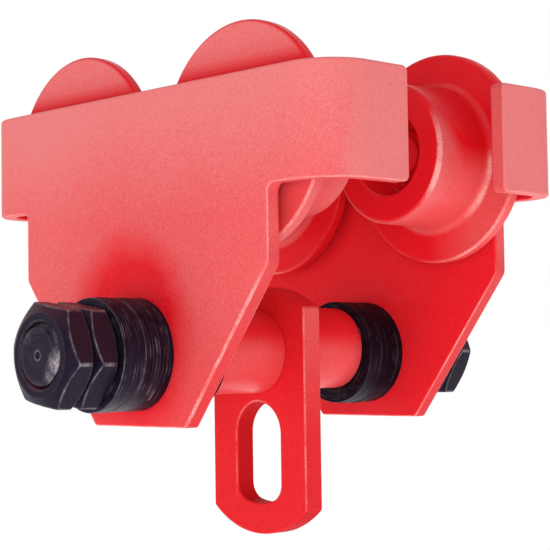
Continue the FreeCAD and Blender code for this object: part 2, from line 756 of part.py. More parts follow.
nodes = []
nodes.append(place(side_plate("side_plate_front"), y="-dim.half_gap", z="dim.plate_bottom"))
nodes.append(place(side_plate("side_plate_rear"), HALF_TURN, y="dim.half_gap", z="dim.plate_bottom"))
nodes.append(place(load_bolt("load_bolt"), TO_REAR, z="dim.bolt_height"))
nodes.append(place(hanger_plate("hanger_plate"), z="dim.bolt_height"))

# Pieces on the bolt, outward from the middle on both sides.  The tubes are loose on it, and are clamped off
# its axis
NUT_TURNS = {"front": -SIZES["front_nut_turn_angle"], "rear": SIZES["rear_nut_turn_angle"]}
tube_start = "dim.hanger_thickness / 2 + dim.hanger_side_clearance"
for side, outward in (("front", TO_FRONT), ("rear", TO_REAR)):
    tube = bevelled_ring(
        "spacer_tube_" + side, "dim.tube_bore_radius", "dim.tube_diameter / 2",
        tube_start, "dim.tube_length", "dim.tube_chamfer",
    )
    inner_start = tube_start + " + dim.tube_length"
    inner = washer_stack("inner_washers_" + side, SIZES["inner_washer_count"], inner_start)
    outer = washer_stack("outer_washers_" + side, SIZES[side + "_washer_count"], "dim.outer_face")
    seat = "dim.%s_nut_seat" % side
    adjusting_nut = hexagon_nut(
        "adjusting_nut_" + side, seat, "dim.nut_face_diameter / 2", "dim.nut_corner_drop",
    )
    lock_nut = hexagon_nut(
        "lock_nut_" + side, seat + " + dim.nut_thickness",
        "dim.lock_nut_face_diameter / 2", "dim.lock_nut_corner_drop",
    )
    nodes.append(place(tube, outward, z="dim.bolt_height + dim.%s_tube_lift" % side))
    for piece in (inner, outer):
        nodes.append(place(piece, outward, z="dim.bolt_height"))
    nut_turn = FreeCAD.Rotation(AXES["z"], NUT_TURNS[side])
    for nut in (adjusting_nut, lock_nut):
        nodes.append(place(nut, outward.multiply(nut_turn), z="dim.bolt_height"))

# Wheel sets, each counted inward from the inner face of the plate that carries it
WHEEL_SET = {
    "track_wheel": track_wheel,
    "stub_axle": stub_axle,
    "bearing_outer_rings": outer_rings,
    "bearing_inner_rings": inner_rings,
    "bearing_balls": bearing_balls,
    "bearing_cages": bearing_cages,
    "bearing_shields": bearing_shields,
    "wheel_circlip": wheel_circlip,
    "axle_circlip": axle_circlip,
}
for side, inward, plate_face in (("front", TO_REAR, "-dim.half_gap"), ("rear", TO_FRONT, "dim.half_gap")):
    for end, axle_place in (("left", "-dim.wheel_base / 2"), ("right", "dim.wheel_base / 2")):
        for piece_name, make_piece in WHEEL_SET.items():
            piece = make_piece("%s_%s_%s" % (piece_name, side, end))
            nodes.append(place(piece, inward, x=axle_place, y=plate_face, z="dim.axle_height"))

doc.recompute()
for feature in doc.Objects:
    if "Invalid" in feature.State or "Error" in feature.State:
        raise RuntimeError("%s failed: %s" % (feature.Name, feature.State))
for node in nodes:
    if node.Shape.isNull() or not node.Shape.isValid():
        raise RuntimeError("%s has no valid shape" % node.Label)

os.makedirs("parts", exist_ok=True)
for node in nodes:
    node.Shape.exportStep("parts/%s.step" % node.Label)
    print("%-32s solids %2d  volume %10.1f" % (node.Label, len(node.Shape.Solids), node.Shape.Volume))
whole = Part.makeCompound([node.Shape for node in nodes]).BoundBox
print("nodes %d, box %.2f x %.2f x %.2f" % (len(nodes), whole.XLength, whole.YLength, whole.ZLength))
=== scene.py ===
import functools
import math

import bmesh
import bpy
from bpy.props import FloatProperty, FloatVectorProperty, IntProperty, PointerProperty
from mathutils import Matrix, Vector


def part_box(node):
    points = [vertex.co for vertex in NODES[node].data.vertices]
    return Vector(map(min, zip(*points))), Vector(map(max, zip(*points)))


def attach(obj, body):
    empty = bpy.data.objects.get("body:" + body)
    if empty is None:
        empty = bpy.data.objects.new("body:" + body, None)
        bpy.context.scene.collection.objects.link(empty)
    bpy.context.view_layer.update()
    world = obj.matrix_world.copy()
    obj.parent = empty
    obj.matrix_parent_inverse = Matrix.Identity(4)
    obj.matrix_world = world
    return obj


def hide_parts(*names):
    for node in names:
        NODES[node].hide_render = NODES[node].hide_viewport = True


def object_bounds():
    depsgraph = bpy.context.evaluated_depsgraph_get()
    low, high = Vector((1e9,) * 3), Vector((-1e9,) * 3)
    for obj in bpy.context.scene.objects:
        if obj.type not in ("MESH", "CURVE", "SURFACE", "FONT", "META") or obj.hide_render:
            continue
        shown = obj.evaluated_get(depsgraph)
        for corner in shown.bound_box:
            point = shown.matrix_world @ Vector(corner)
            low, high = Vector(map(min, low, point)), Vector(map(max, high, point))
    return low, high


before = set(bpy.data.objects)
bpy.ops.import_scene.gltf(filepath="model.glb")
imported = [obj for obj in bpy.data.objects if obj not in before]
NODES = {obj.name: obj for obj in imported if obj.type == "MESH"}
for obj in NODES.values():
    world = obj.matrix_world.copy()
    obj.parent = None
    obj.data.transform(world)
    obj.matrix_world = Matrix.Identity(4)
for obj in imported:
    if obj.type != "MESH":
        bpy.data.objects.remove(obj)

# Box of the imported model, before anything is added to it
CAD_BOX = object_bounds()

bl_info = {
    "name": "Beam trolley finish",
    "version": (1, 0, 0),
    "blender": (4, 5, 0),
    "location": "3D View > Sidebar > Trolley",
    "description": "Paint, blackened fasteners, bearings and a studio stage for a push beam trolley",
    "category": "Object",
}

MM = 0.001
SIDES = ("front", "rear")
CORNERS = ("front_left", "front_right", "rear_left", "rear_right")

# Box of the load bolt, the point through which its axis runs along Y, and its radius
BOLT_LOW, BOLT_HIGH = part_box("load_bolt")
BOLT_AXIS = Vector((0.0, 0.0, (BOLT_LOW.z + BOLT_HIGH.z) / 2))
BOLT_RADIUS = (BOLT_HIGH.x - BOLT_LOW.x) / 2

# What every group of paint zones gives: painted sheen, painted highlights, and painted shade
ZONES = [("Painted_sheen", "Float"), ("Gleam", "Float"), ("Pooled", "Float")]
COAT_ROUGHNESS = 0.12

# Camera: where it stands, its turns in degrees, and the width of its sensor
EYE = (0.60622, -0.56963, -0.06705)
YAW, PITCH, ROLL = 46.40, 3.03, -0.83
SENSOR_MM = 36.0

# Softboxes, each with its place, width and height.  They face the middle of the trolley.
MIDDLE = (0.0, 0.0, -0.02)
SOFTBOXES = (
    ("front", (-0.50, -1.25, -0.29), 1.5, 0.6),
    ("side", (1.20, 0.95, 0.05), 1.2, 0.9),
    ("rear", (-0.85, 1.15, 0.05), 1.2, 0.9),
    ("fill", (1.20, -1.15, -0.14), 1.3, 0.85),
)
# One more softbox lies just above the floor and faces straight up
LOW_SOFTBOX_SIDE, LOW_SOFTBOX_LIFT = 2.4, 0.01
LOW_SOFTBOX_AIM = (0.1, -0.1, 0.0)
FLOOR_REACH = 9.0
FLOOR_GLOW = 0.55
WHITE = (1.0, 1.0, 1.0, 1.0)


def colour_setting(name, description, default):
    """Colour that a user may change."""
    return FloatVectorProperty(
        name=name, description=description, subtype="COLOR", size=3, min=0, max=1, default=default,
    )


def length_setting(name, description, default, least, most):
    """Length that a user may change."""
    return FloatProperty(
        name=name, description=description, subtype="DISTANCE", unit="LENGTH", default=default, min=least,
        max=most, precision=6,
    )


def light_setting(name, description, default):
    """Strength of a light that a user may change."""
    return FloatProperty(name=name, description=description, default=default, min=0, max=20)


class PaintSettings(bpy.types.PropertyGroup):
    """Red enamel of the plates, wheels, tubes and hanger."""

    colour: colour_setting("Colour", "Enamel at full thickness", (0.84, 0.011, 0.022))
    # The deep colour is also the painted shade of the hanger and tubes, which are made darker toward it
    deep: colour_setting("Deep colour", "Enamel where it has run a little thicker", (0.72, 0.007, 0.014))
    pale: colour_setting("Pale colour", "Specks of thin enamel", (0.86, 0.028, 0.036))
    # Painted sheen: a pale red put on outward faces in place of the light that they catch
    sheen_colour: colour_setting(
        "Chalked colour", "Enamel that has gone dull and pale on outward faces", (0.785, 0.207, 0.203),
    )
    # Painted highlight along rounded edges, on the tread's nose and at the flange root
    gleam: colour_setting("Worn colour", "Thin enamel along rounded edges", (0.93, 0.40, 0.37))
    # Painted shade in the hanger's slot and beneath it, on cut edges and low on the wheels
    darkened: colour_setting("Pooled colour", "Enamel that has pooled in the slot", (0.46, 0.006, 0.010))
    gloss: FloatProperty(
        name="Roughness", description="Mean roughness of the enamel", subtype="FACTOR", default=0.36,
        min=0, max=1,
    )
    peel: length_setting("Orange peel", "Depth of the ripple that the spray leaves", 0.04 * MM, 0, MM)


class SteelSettings(bpy.types.PropertyGroup):
    """Blackened fasteners and the bright steel of the bearings."""

    black: colour_setting("Black oxide", "Blackened washers, nuts and bolt", (0.0115, 0.0066, 0.0175))
    rubbed: colour_setting("Rubbed steel", "Steel where the black is rubbed through", (0.36, 0.31, 0.345))
    ground: colour_setting("Ground steel", "Rings and balls of the bearings", (0.62, 0.62, 0.60))
    pressed: colour_setting("Pressed steel", "Shields and cages of the bearings", (0.45, 0.45, 0.44))
    spring: colour_setting("Spring steel", "Circlips", (0.09, 0.09, 0.09))


class StackSettings(bpy.types.PropertyGroup):
    """Pieces threaded on the load bolt."""

    washer_thickness: length_setting("Washer thickness", "Thickness of one washer", 4.2 * MM, MM, 10 * MM)
    washer_roll: length_setting(
        "Washer rolled edge", "Radius of the rolled edge of a washer", 0.55 * MM, 0.1 * MM, MM,
    )
    washer_wander: length_setting(
        "Washer wander", "How far a washer may sit off the bolt's axis", 0.22 * MM, 0, 0.3 * MM,
    )
    washer_seed: IntProperty(
        name="Washer seed", description="Seed of the washers' places", default=11, min=0,
    )
    nut_face: length_setting("Nut face radius", "Flat face inside a nut's bevel", 21 * MM, 16 * MM, 23 * MM)
    nut_drop: length_setting(
        "Nut corner drop", "Depth of a nut's bevel at the corners", 3.2 * MM, MM, 6 * MM,
    )
    lock_face: length_setting(
        "Lock nut face radius", "Flat outer face of a lock nut", 19.5 * MM, 16 * MM, 23 * MM,
    )
    lock_drop: length_setting(
        "Lock nut corner drop", "Depth of a lock nut's outer bevel at the corners", 4.1 * MM, MM, 6 * MM,
    )
    thread_pitch: length_setting("Thread pitch", "Pitch of the load bolt's thread", 3.5 * MM, MM, 6 * MM)
    thread_length: length_setting(
        "Thread length", "Length of thread at each end of the load bolt", 56 * MM, 20 * MM, 80 * MM,
    )


class StageSettings(bpy.types.PropertyGroup):
    """Floor, lamps and camera."""

    floor_drop: length_setting("Floor drop", "Floor below the hanger", 0.45, 0, 2)
    ambient: light_setting("Ambient", "Light from all round", 0.52)
    low_box: light_setting("Low softbox", "Radiance of the softbox on the floor", 0.5)
    front_box: light_setting("Front softbox", "Radiance of the softbox at the front", 1.55)
    side_box: light_setting("Side softbox", "Radiance of the softbox at the right rear", 0.9)
    rear_box: light_setting("Rear softbox", "Radiance of the softbox at the left rear", 0.8)
    fill_box: light_setting("Fill softbox", "Radiance of the fill beside the camera", 3.0)
    lens: FloatProperty(
        name="Lens", description="Focal length of the camera on a 36 mm sensor", subtype="DISTANCE_CAMERA",
        unit="CAMERA", default=105.85, min=20, max=300,
    )


def put(tree, socket, term):
    """Link a socket to a term or another socket, or set it where the term is a plain value."""
    source = getattr(term, "socket", term)
    if isinstance(source, bpy.types.NodeSocket):
        tree.links.new(source, socket)
    else:
        socket.default_value = source


def put_all(tree, node, *terms):
    """Put terms on the first sockets of a node, in order."""
    for socket, term in zip(node.inputs, terms):
        put(tree, socket, term)


def add(tree, kind, settings=None, **terms):
    """New node with its settings, and with a term on each named socket."""
    node = tree.nodes.new(kind)
    for name, setting in (settings or {}).items():
        setattr(node, name, setting)
    for name, term in terms.items():
        put(tree, node.inputs[name.replace("_", " ")], term)
    return node


def maths(tree, operation, *terms):
    """Result of a Math node."""
    node = add(tree, "ShaderNodeMath", {"operation": operation})
    put_all(tree, node, *terms)
    return Term(tree, node.outputs[0])


class Term:
    """Value in a node tree.  Sums, differences and products of terms are made as Math nodes."""

    def __init__(self, tree, socket):
        self.tree = tree
        self.socket = socket

    def __add__(self, other):
        return maths(self.tree, "ADD", self, other)

    def __sub__(self, other):
        return maths(self.tree, "SUBTRACT", self, other)

    def __rsub__(self, other):
        return maths(self.tree, "SUBTRACT", other, self)

    def __mul__(self, other):
        return maths(self.tree, "MULTIPLY", self, other)

    def __abs__(self):
        return maths(self.tree, "ABSOLUTE", self)

    def spread(self, low, high, to_low=0.0, to_high=1.0):
        """Term stretched from one range to another, and held inside it."""
        node = add(
            self.tree, "ShaderNodeMapRange", Value=self, From_Min=low, From_Max=high, To_Min=to_low,
            To_Max=to_high,
        )
        return Term(self.tree, node.outputs[0])

    def fade(self, low, high, to_low=0.0, to_high=1.0):
        """Length stretched from a range in millimetres to another range, and held inside it."""
        return self.spread(low * MM, high * MM, to_low, to_high)

    def between(self, low, high, soft):
        """1 where a length is inside a range in millimetres and 0 outside it, with soft ends."""
        rise = self.fade(low - soft / 2, low + soft / 2)
        return rise * self.fade(high - soft / 2, high + soft / 2, 1.0, 0.0)

    def mix(self, first, second):
        """Colour between two colours, by this share of the second."""
        node = add(self.tree, "ShaderNodeMix", {"data_type": "RGBA"})
        for index, term in ((0, self), (6, first), (7, second)):
            put(self.tree, node.inputs[index], term)
        return Term(self.tree, node.outputs[2])

    def noise(self, scale, detail=2.0, distortion=0.0):
        """Noise between 0 and 1 at this point."""
        node = add(
            self.tree, "ShaderNodeTexNoise", Vector=self, Scale=scale, Detail=detail, Distortion=distortion,
        )
        return Term(self.tree, node.outputs[0])


def largest(*terms):
    """Largest of several terms, the first of which is not a plain number."""
    return functools.reduce(lambda first, second: maths(first.tree, "MAXIMUM", first, second), terms)


def length_of(first, second):
    """Length of a pair of terms at right angles."""
    return maths(first.tree, "SQRT", first * first + second * second)


def opaque(colour):
    """Colour with full alpha."""
    return (*colour, 1.0)


def effect(name, inputs, outputs):
    """Shader group with named sockets, the terms that it is given, and its end node."""
    group = bpy.data.node_groups.new(name, "ShaderNodeTree")
    for way, sockets in (("INPUT", inputs), ("OUTPUT", outputs)):
        for label, kind in sockets:
            group.interface.new_socket(label, in_out=way, socket_type="NodeSocket" + kind)
    start = group.nodes.new("NodeGroupInput")
    given = {socket.name: Term(group, socket) for socket in start.outputs}
    return group, given, group.nodes.new("NodeGroupOutput")


def once(build):
    """Build a group the first time that it is asked for, and find it by its name after that."""

    @functools.wraps(build)
    def found():
        return bpy.data.node_groups.get(build.__name__) or build(build.__name__)

    return found


def coordinates(tree, kind="Object"):
    """Place of the shaded point on its object, or another of its coordinates."""
    return Term(tree, tree.nodes.new("ShaderNodeTexCoord").outputs[kind])


def surface_point(tree, shift, operation="ADD"):
    """Object coordinates moved by a shift, so that like pieces don't share one pattern."""
    node = add(tree, "ShaderNodeVectorMath", {"operation": operation})
    put_all(tree, node, coordinates(tree), shift)
    return Term(tree, node.outputs[0])


def axes_of(vector):
    """Parts of a vector along X, Y and Z."""
    node = add(vector.tree, "ShaderNodeSeparateXYZ", Vector=vector)
    return [Term(vector.tree, socket) for socket in node.outputs]


@once
def plate_zones(name):
    """Painted sheen on the outer skin of the bent plates, held back by a painted shade round the bolt's
    stack, with painted highlights and painted shade along its rounded edges.
    """
    group, _, end = effect(name, [], ZONES)
    across, along, up = axes_of(coordinates(group))
    # In millimetres: where the bends begin, their inner and outer radius, and the top of the plate
    bend_x, bend_y, inside, outside = 107.0, 59.5, 16.0, 24.0
    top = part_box("side_plate_front")[1].z / MM
    past_x = largest(abs(across) - bend_x * MM, 0.0)
    past_y = largest(abs(along) - bend_y * MM, 0.0)
    depth = length_of(past_x, past_y)
    skin_share = depth.fade(inside + 0.2, inside + 1.8)
    face_share = depth.fade(outside - 1.0, outside - 0.4)
    edge_share = 1.0 - face_share

    # Painted shade round the bolt's stack keeps the face from the painted sheen, and is narrower towards the
    # right
    shade_x, shade_z, shade_ragged = -4.0, -55.0, 2.5
    point = surface_point(group, (0.0, 0.0, 0.0))
    ragged = point.noise(55.0, 3.0).spread(0.3, 0.7, -shade_ragged * MM, shade_ragged * MM)
    from_x = across - shade_x * MM
    from_x = from_x * from_x.fade(0.0, 20.0, 1.0, 1.2)
    unshaded = (length_of(from_x, up - shade_z * MM) + ragged).fade(35.0, 56.0)

    # Painted light: the face is palest at its top and its bent ends, and darkest at its foot
    lift = largest(up.fade(0.0, 55.0, 0.54, 1.0), past_x.fade(10.0, 23.5, 0.0, 1.04))
    lift = lift + across.fade(-20.0, -80.0, 0.0, 0.10) + up.fade(-45.0, -95.0, 0.0, -0.24)
    face_tone = face_share * unshaded * lift
    # Painted sheen on the cut edges, paler higher up, and a little on the inner faces
    edge_tone = edge_share * up.fade(-90.0, 0.0, 0.25, 0.58)
    cloud = point.noise(18.0, 3.0).spread(0.3, 0.7, 0.92, 1.05)
    sheen_share = (face_tone + edge_tone) * cloud * skin_share + (1.0 - skin_share) * 0.035

    # Painted highlights along both rims of the cut edge
    outer_rim = depth.between(outside - 1.0, outside - 0.25, 0.3)
    outer_share = largest(up.fade(24.0, 13.0, 0.0, 0.85), up.fade(top - 2.5, top - 1.0, 0.0, 0.4))
    inner_rim = depth.between(inside + 0.25, inside + 1.0, 0.3)
    inner_share = up.fade(-20.0, -45.0, 0.1, 0.9)
    # Painted highlight band on the outer face beside the slanted edge, which runs from the shoulder down to
    # the foot
    foot, shoulder = Vector((34.5, -97.7)), Vector((91.0, -24.2))
    slant = (shoulder - foot).normalized()
    past_edge = (abs(across) - foot.x * MM) * slant.y - (up - foot.y * MM) * slant.x
    band = past_edge.between(-1.4, 0.2, 0.3) * face_share * up.fade(-22.0, -30.0, 0.0, 0.9)
    gleam = largest(outer_rim * outer_share, inner_rim * inner_share, band)

    # Painted shade on the cut edge, mostly below the arms
    cut_edge = depth.fade(inside + 0.8, inside + 1.4, 0.0, 0.30) * edge_share
    put_all(group, end, sheen_share, gleam, cut_edge * up.fade(-22.0, -10.0, 1.0, 0.2))
    return group


@once
def wheel_zones(name):
    """Painted sheen, painted highlights and painted shade on the outward flange faces, treads and rounded
    rims of the wheels.
    """
    group, _, end = effect(name, [], ZONES)
    across, along, up = axes_of(coordinates(group))
    # In millimetres: both ends of a wheel, its rim, the inner face of its flange, its nose and its root
    low, high = (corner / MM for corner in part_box("track_wheel_rear_right"))
    centre = (low + high) / 2
    front, back, rim = low.y, high.y, (high.z - low.z) / 2
    flange, nose_edge, root_edge = back - 6.9, 33.5, 37.0
    away = abs(across) - centre.x * MM
    rise = up - centre.z * MM
    radius = length_of(away, rise)
    place = abs(along)
    front_low = along.fade(0.0, -1.0) * rise.fade(10.0, 0.0)

    # Painted sheen on outward faces where they stand clear of the side plate, above it and below its arms;
    # just above the plate's top edge it fades out as painted shade
    above = rise.fade(30.5, 37.0) * rise.fade(36.0, 44.0, 0.78, 1.04)
    clear = largest(above, rise.fade(14.0, 6.0, 0.0, 0.5))
    back_face = place.fade(back - 2.0, back - 0.8, 0.0, 0.78) * radius.fade(rim - 0.5, rim - 1.8)

    # Painted sheen on the treads' lower half, and further up beside the nose
    nose_rise = place.fade(front + 18.0, front + 4.0, 0.0, 20.0 * MM)
    lower = (rise - nose_rise).fade(2.0, -12.0)
    on_tread = radius.fade(nose_edge, nose_edge + 1.7, 0.0, 0.40)
    by_nose = place.fade(front + 13.0, front + 4.0, 1.0, 1.4)
    off_flange = radius.fade(root_edge + 1.0, root_edge + 4.0, 1.0, 0.0)
    outer_side = largest(off_flange, away.fade(-5.0, 25.0, 0.0, 1.2))
    lit_tread = place.fade(back - 2.0, back - 3.5) * lower * on_tread * by_nose * outer_side

    # Painted sheen on the rim, low on the outer side and at the front
    side_rim = away.fade(-5.0, 15.0, 0.0, 0.45) * rise.fade(5.0, -5.0)
    on_rim = radius.fade(rim - 0.9, rim - 0.4) * largest(side_rim, front_low * 0.70)
    sheen_share = largest(back_face * clear, lit_tread, on_rim)

    # Painted highlights: both edges of the rim, the nose, and the root of the flange
    near_rim = radius.fade(rim - 1.4, rim - 0.9)
    back_edge = place.fade(back - 1.5, back - 1.0)
    edges = largest(place.fade(flange + 1.5, flange + 1.0), back_edge * 0.1)
    outer_low = (away - rise).fade(10.0, 60.0, 0.25, 2.0)
    rims = near_rim * 0.45 * edges * outer_low * away.fade(-15.0, 10.0, 0.3, 1.0)
    front_rims = near_rim * 0.95 * back_edge * front_low
    at_nose = place.fade(front + 2.6, front + 1.8) * radius.fade(nose_edge - 0.3, nose_edge + 0.4)
    streak = rise.between(-21.0, 12.0, 14.0) * away.fade(18.0, 26.0, 0.0, 0.85)
    bright = rise.between(-19.0, -3.0, 9.0) * away.fade(22.0, 28.0, 0.06, 1.15)
    at_root = radius.between(root_edge, root_edge + 2.4, 1.2) * place.fade(flange + 0.6, flange)
    root_streak = rise.between(-29.0, -2.0, 9.0) * away.fade(12.0, 22.0, 0.0, 1.8)
    gleam = largest(rims, front_rims, at_nose * (streak + bright), at_root * largest(root_streak, 0.12))

    # Painted shade low on the front of the wheels
    put_all(group, end, sheen_share, gleam, front_low * 0.22)
    return group


@once
def hanger_zones(name):
    """Painted sheen on the hanger's flanks, painted highlights on its upright edges and slot, and painted
    shade in its slot and underneath.
    """
    group, _, end = effect(name, [], ZONES)
    across, along, up = axes_of(coordinates(group))
    # In millimetres: half width, half thickness and top of the hanger, and the upper arc of its slot
    wide, thick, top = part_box("hanger_plate")[1] / MM
    arc_height, arc_radius = -104.0, 16.2
    side, face = abs(across), abs(along)
    # Painted sheen on the upper flanks, fading downwards, and a little all over
    flank = side.fade(wide - 0.9, wide - 0.4) * up.fade(top - 15.0, arc_height, 0.40, 0.03)

    # Painted highlights round the slot's upper arc and along the upright edges
    above = largest(up - arc_height * MM, 0.0)
    mouth = length_of(side, above).between(arc_radius, arc_radius + 0.9, 0.4)
    mouth = mouth * up.fade(-139.0, -129.0) * across.fade(8.0, -4.0, 0.5, 1.5) * 0.35
    upright = side.fade(wide - 1.0, wide - 0.6, 0.0, 0.5)
    gleam = largest(upright, mouth) * face.fade(thick - 0.9, thick - 0.6)

    # Painted shade on the cut edge inside the slot and under the hanger
    cut_edge = face.fade(thick - 0.3, thick - 1.2)
    hollow = side.fade(arc_radius + 1.6, arc_radius) * up.fade(-83.0, -86.0, 0.0, 0.75)
    under = up.fade(-141.0, -143.0, 0.0, 0.6)
    put_all(group, end, flank + 0.055, gleam, cut_edge * largest(hollow, under))
    return group


@once
def tube_zones(name):
    """Spacer tubes, with painted sheen on their lower half."""
    group, _, end = effect(name, [], ZONES)
    up = axes_of(coordinates(group))[2]
    put_all(group, end, up.fade(-53.0, -63.0, 0.04, 0.31), 0.0, 0.0)
    return group


@once
def enamel_film(name):
    """Sprayed enamel: broad tone, specks of thicker and thinner enamel, painted sheen, painted highlights,
    painted shade, orange peel.
    """
    group, given, end = effect(
        name,
        [(label, "Color") for label in ("Colour", "Deep", "Pale", "Chalk", "Thin", "Pool")]
        + [("Shift", "Vector"), ("Gloss", "Float")] + ZONES,
        [("Colour", "Color"), ("Roughness", "Float"), ("Height", "Float")],
    )
    point = surface_point(group, given["Shift"])
    cloud = point.noise(14.0, 3.0, 0.4)
    runs = point.noise(70.0, 4.0)
    specks = point.noise(1150.0, 1.5)
    grit = point.noise(1500.0, 1.0)
    peel = point.noise(380.0, 1.0)
    ripple = point.noise(120.0, 1.0)

    depth = cloud.spread(0.38, 0.68, 0.0, 0.25) + runs.spread(0.45, 0.75, 0.0, 0.20)
    toned = depth.mix(given["Colour"], given["Deep"])
    toned = specks.spread(0.50, 0.72, 0.0, 0.70).mix(toned, given["Pale"])
    toned = specks.spread(0.28, 0.45, 0.45, 0.0).mix(toned, given["Deep"])
    # Painted sheen, then painted highlights along edges, then painted shade, each mixed over the enamel's
    # own tone
    lightened = given["Painted_sheen"] * grit.spread(0.32, 0.68, 0.74, 1.18) * specks.spread(0.32, 0.68, 0.84, 1.12)
    toned = lightened.mix(toned, given["Chalk"])
    # Painted highlight, where the zones give it
    thin = given["Gleam"] * runs.spread(0.36, 0.62, 0.15, 1.0) * specks.spread(0.36, 0.60, 0.45, 1.0)
    toned = thin.mix(toned, given["Thin"])
    toned = given["Pooled"].mix(toned, given["Pool"])

    rough = given["Gloss"] + runs.spread(0.3, 0.7, -0.04, 0.05) + specks.spread(0.3, 0.7, -0.03, 0.03)
    rough = rough + given["Painted_sheen"] * 0.10 + given["Pooled"] * 0.35
    put_all(group, end, toned, rough, peel * 0.6 + ripple * 1.1 + specks * 0.12)
    return group


@once
def turning_marks(name):
    """Fine rings about an axis along Y: round a cylinder, and in circles on its end faces."""
    group, given, end = effect(
        name, [("Centre", "Vector"), ("Lines", "Float")], [("Marks", "Float"), ("Bands", "Float")],
    )
    lines = given["Lines"]
    across, along, up = axes_of(surface_point(group, given["Centre"], "SUBTRACT"))
    angle = maths(group, "ARCTAN2", up, across)
    ring = add(
        group, "ShaderNodeCombineXYZ", X=length_of(across, up) * lines, Y=along * lines, Z=angle * 0.9,
    )
    ring = Term(group, ring.outputs[0])
    put_all(group, end, ring.noise(1.0, 3.0), ring.noise(0.21, 2.0))
    return group


@once
def rubbed_finish(name):
    """Dark coating over steel, rubbed through along the edges and in scattered scuffs."""
    group, given, end = effect(
        name,
        [("Coating", "Color"), ("Steel", "Color"), ("Edge", "Float"), ("Marks", "Float"), ("Bands", "Float"),
         ("Shift", "Vector"), ("Gloss", "Float"), ("Scratches", "Float")],
        [("Colour", "Color"), ("Roughness", "Float"), ("Height", "Float")],
    )
    point = surface_point(group, given["Shift"])
    patches = point.noise(160.0, 4.0)
    scuffs = point.noise(900.0, 3.0)
    edges = given["Edge"] * patches.spread(0.35, 0.65, 0.15, 0.9) * scuffs.spread(0.30, 0.60, 0.3, 1.0)
    lines = given["Marks"].spread(0.57, 0.72) * given["Scratches"] * patches.spread(0.42, 0.66)
    rubbed = largest(edges, lines)
    coating = given["Bands"].spread(0.3, 0.7, 0.0, 0.012).mix(given["Coating"], given["Steel"])
    rough = given["Gloss"] + patches.spread(0.3, 0.7, -0.06, 0.08) + rubbed * -0.18
    put_all(group, end, rubbed.mix(coating, given["Steel"]), rough, given["Marks"] + scuffs * 0.35)
    return group


@once
def overspray(name):
    """Red mist on what faces the open end of a wheel's bore, broken by bare spots."""
    group, given, end = effect(
        name, [("Colour", "Color"), ("Paint", "Color"), ("Metal", "Float")],
        [("Colour", "Color"), ("Metallic", "Float")],
    )
    place = abs(axes_of(coordinates(group))[1])
    point = surface_point(group, (0.4, 0.2, 0.7))
    cover = place.fade(47.0, 45.0) * point.noise(420.0, 3.0).spread(0.30, 0.44, 0.88, 1.0)
    put_all(group, end, cover.mix(given["Colour"], given["Paint"]), (1.0 - cover) * given["Metal"])
    return group


def new_material(name):
    """Material with its node tree and Principled shader."""
    material = bpy.data.materials.new(name)
    material.use_nodes = True
    return material, material.node_tree, material.node_tree.nodes["Principled BSDF"]


def surface(tree, shader, colour, film, depth, shine):
    """Put a colour, and a film's roughness and relief, on a shader."""
    bump = add(tree, "ShaderNodeBump", Height=film.outputs["Height"], Distance=depth, Strength=1.0)
    put(tree, shader.inputs["Base Color"], colour)
    put(tree, shader.inputs["Roughness"], film.outputs["Roughness"])
    put(tree, shader.inputs["Normal"], bump.outputs[0])
    shader.inputs["Specular IOR Level"].default_value = shine


def enamel(name, shift, zones, shade=0.0, gloss_change=0.0, shine=0.14, coat=0.06):
    """Red enamel, its pattern moved by a shift, its painted sheen, highlights and shade from a group, and
    made darker toward the deep colour by its shade, as painted shade.
    """
    paint = bpy.context.scene.trolley_paint
    material, tree, shader = new_material(name)
    colour = Vector(paint.colour).lerp(Vector(paint.deep), shade)
    film = add(
        tree, "ShaderNodeGroup", {"node_tree": enamel_film()},
        Colour=opaque(colour), Deep=opaque(paint.deep), Pale=opaque(paint.pale), Chalk=opaque(paint.sheen_colour),
        Thin=opaque(paint.gleam), Pool=opaque(paint.darkened), Shift=shift, Gloss=paint.gloss + gloss_change,
    )
    places = add(tree, "ShaderNodeGroup", {"node_tree": zones})
    for label, _ in ZONES:
        put(tree, film.inputs[label], places.outputs[label])
    surface(tree, shader, film.outputs["Colour"], film, paint.peel, shine)
    shader.inputs["Coat Weight"].default_value = coat
    shader.inputs["Coat Roughness"].default_value = COAT_ROUGHNESS
    return material


def steel(
    name, coating, bare, shift, centre=BOLT_AXIS, lines=2600.0, gloss=0.42, metal=0.3, depth=0.02 * MM,
    spray=None, shine=0.06, scratches=0.2, edge_wear=1.0, upward_reflection=0.0,
):
    """Steel with turning marks about an axis, under a coating that is rubbed along its edges."""
    material, tree, shader = new_material(name)
    marks = add(tree, "ShaderNodeGroup", {"node_tree": turning_marks()}, Centre=centre, Lines=lines)
    edge = add(tree, "ShaderNodeAttribute", {"attribute_name": "edge"})
    film = add(
        tree, "ShaderNodeGroup", {"node_tree": rubbed_finish()},
        Coating=opaque(coating), Steel=opaque(bare), Edge=Term(tree, edge.outputs["Fac"]) * edge_wear,
        Marks=marks.outputs["Marks"], Bands=marks.outputs["Bands"], Shift=shift, Gloss=gloss,
        Scratches=scratches,
    )
    colour = film.outputs["Colour"]
    # Painted reflection: upward faces are made paler toward the red of the painted sheen
    if upward_reflection:
        upward = axes_of(coordinates(tree, "Normal"))[2]
        sheen_colour = opaque(bpy.context.scene.trolley_paint.sheen_colour)
        colour = upward.spread(0.2, 0.9, 0.0, upward_reflection).mix(colour, sheen_colour)
    shader.inputs["Metallic"].default_value = metal
    if spray:
        mist = add(
            tree, "ShaderNodeGroup", {"node_tree": overspray()}, Colour=colour, Paint=opaque(spray),
            Metal=metal,
        )
        colour = mist.outputs["Colour"]
        put(tree, shader.inputs["Metallic"], mist.outputs["Metallic"])
    surface(tree, shader, colour, film, depth, shine)
    return material


def finish_nodes(material, *names):
    """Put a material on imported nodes."""
    for name in names:
        for place in NODES[name].material_slots:
            place.material = material


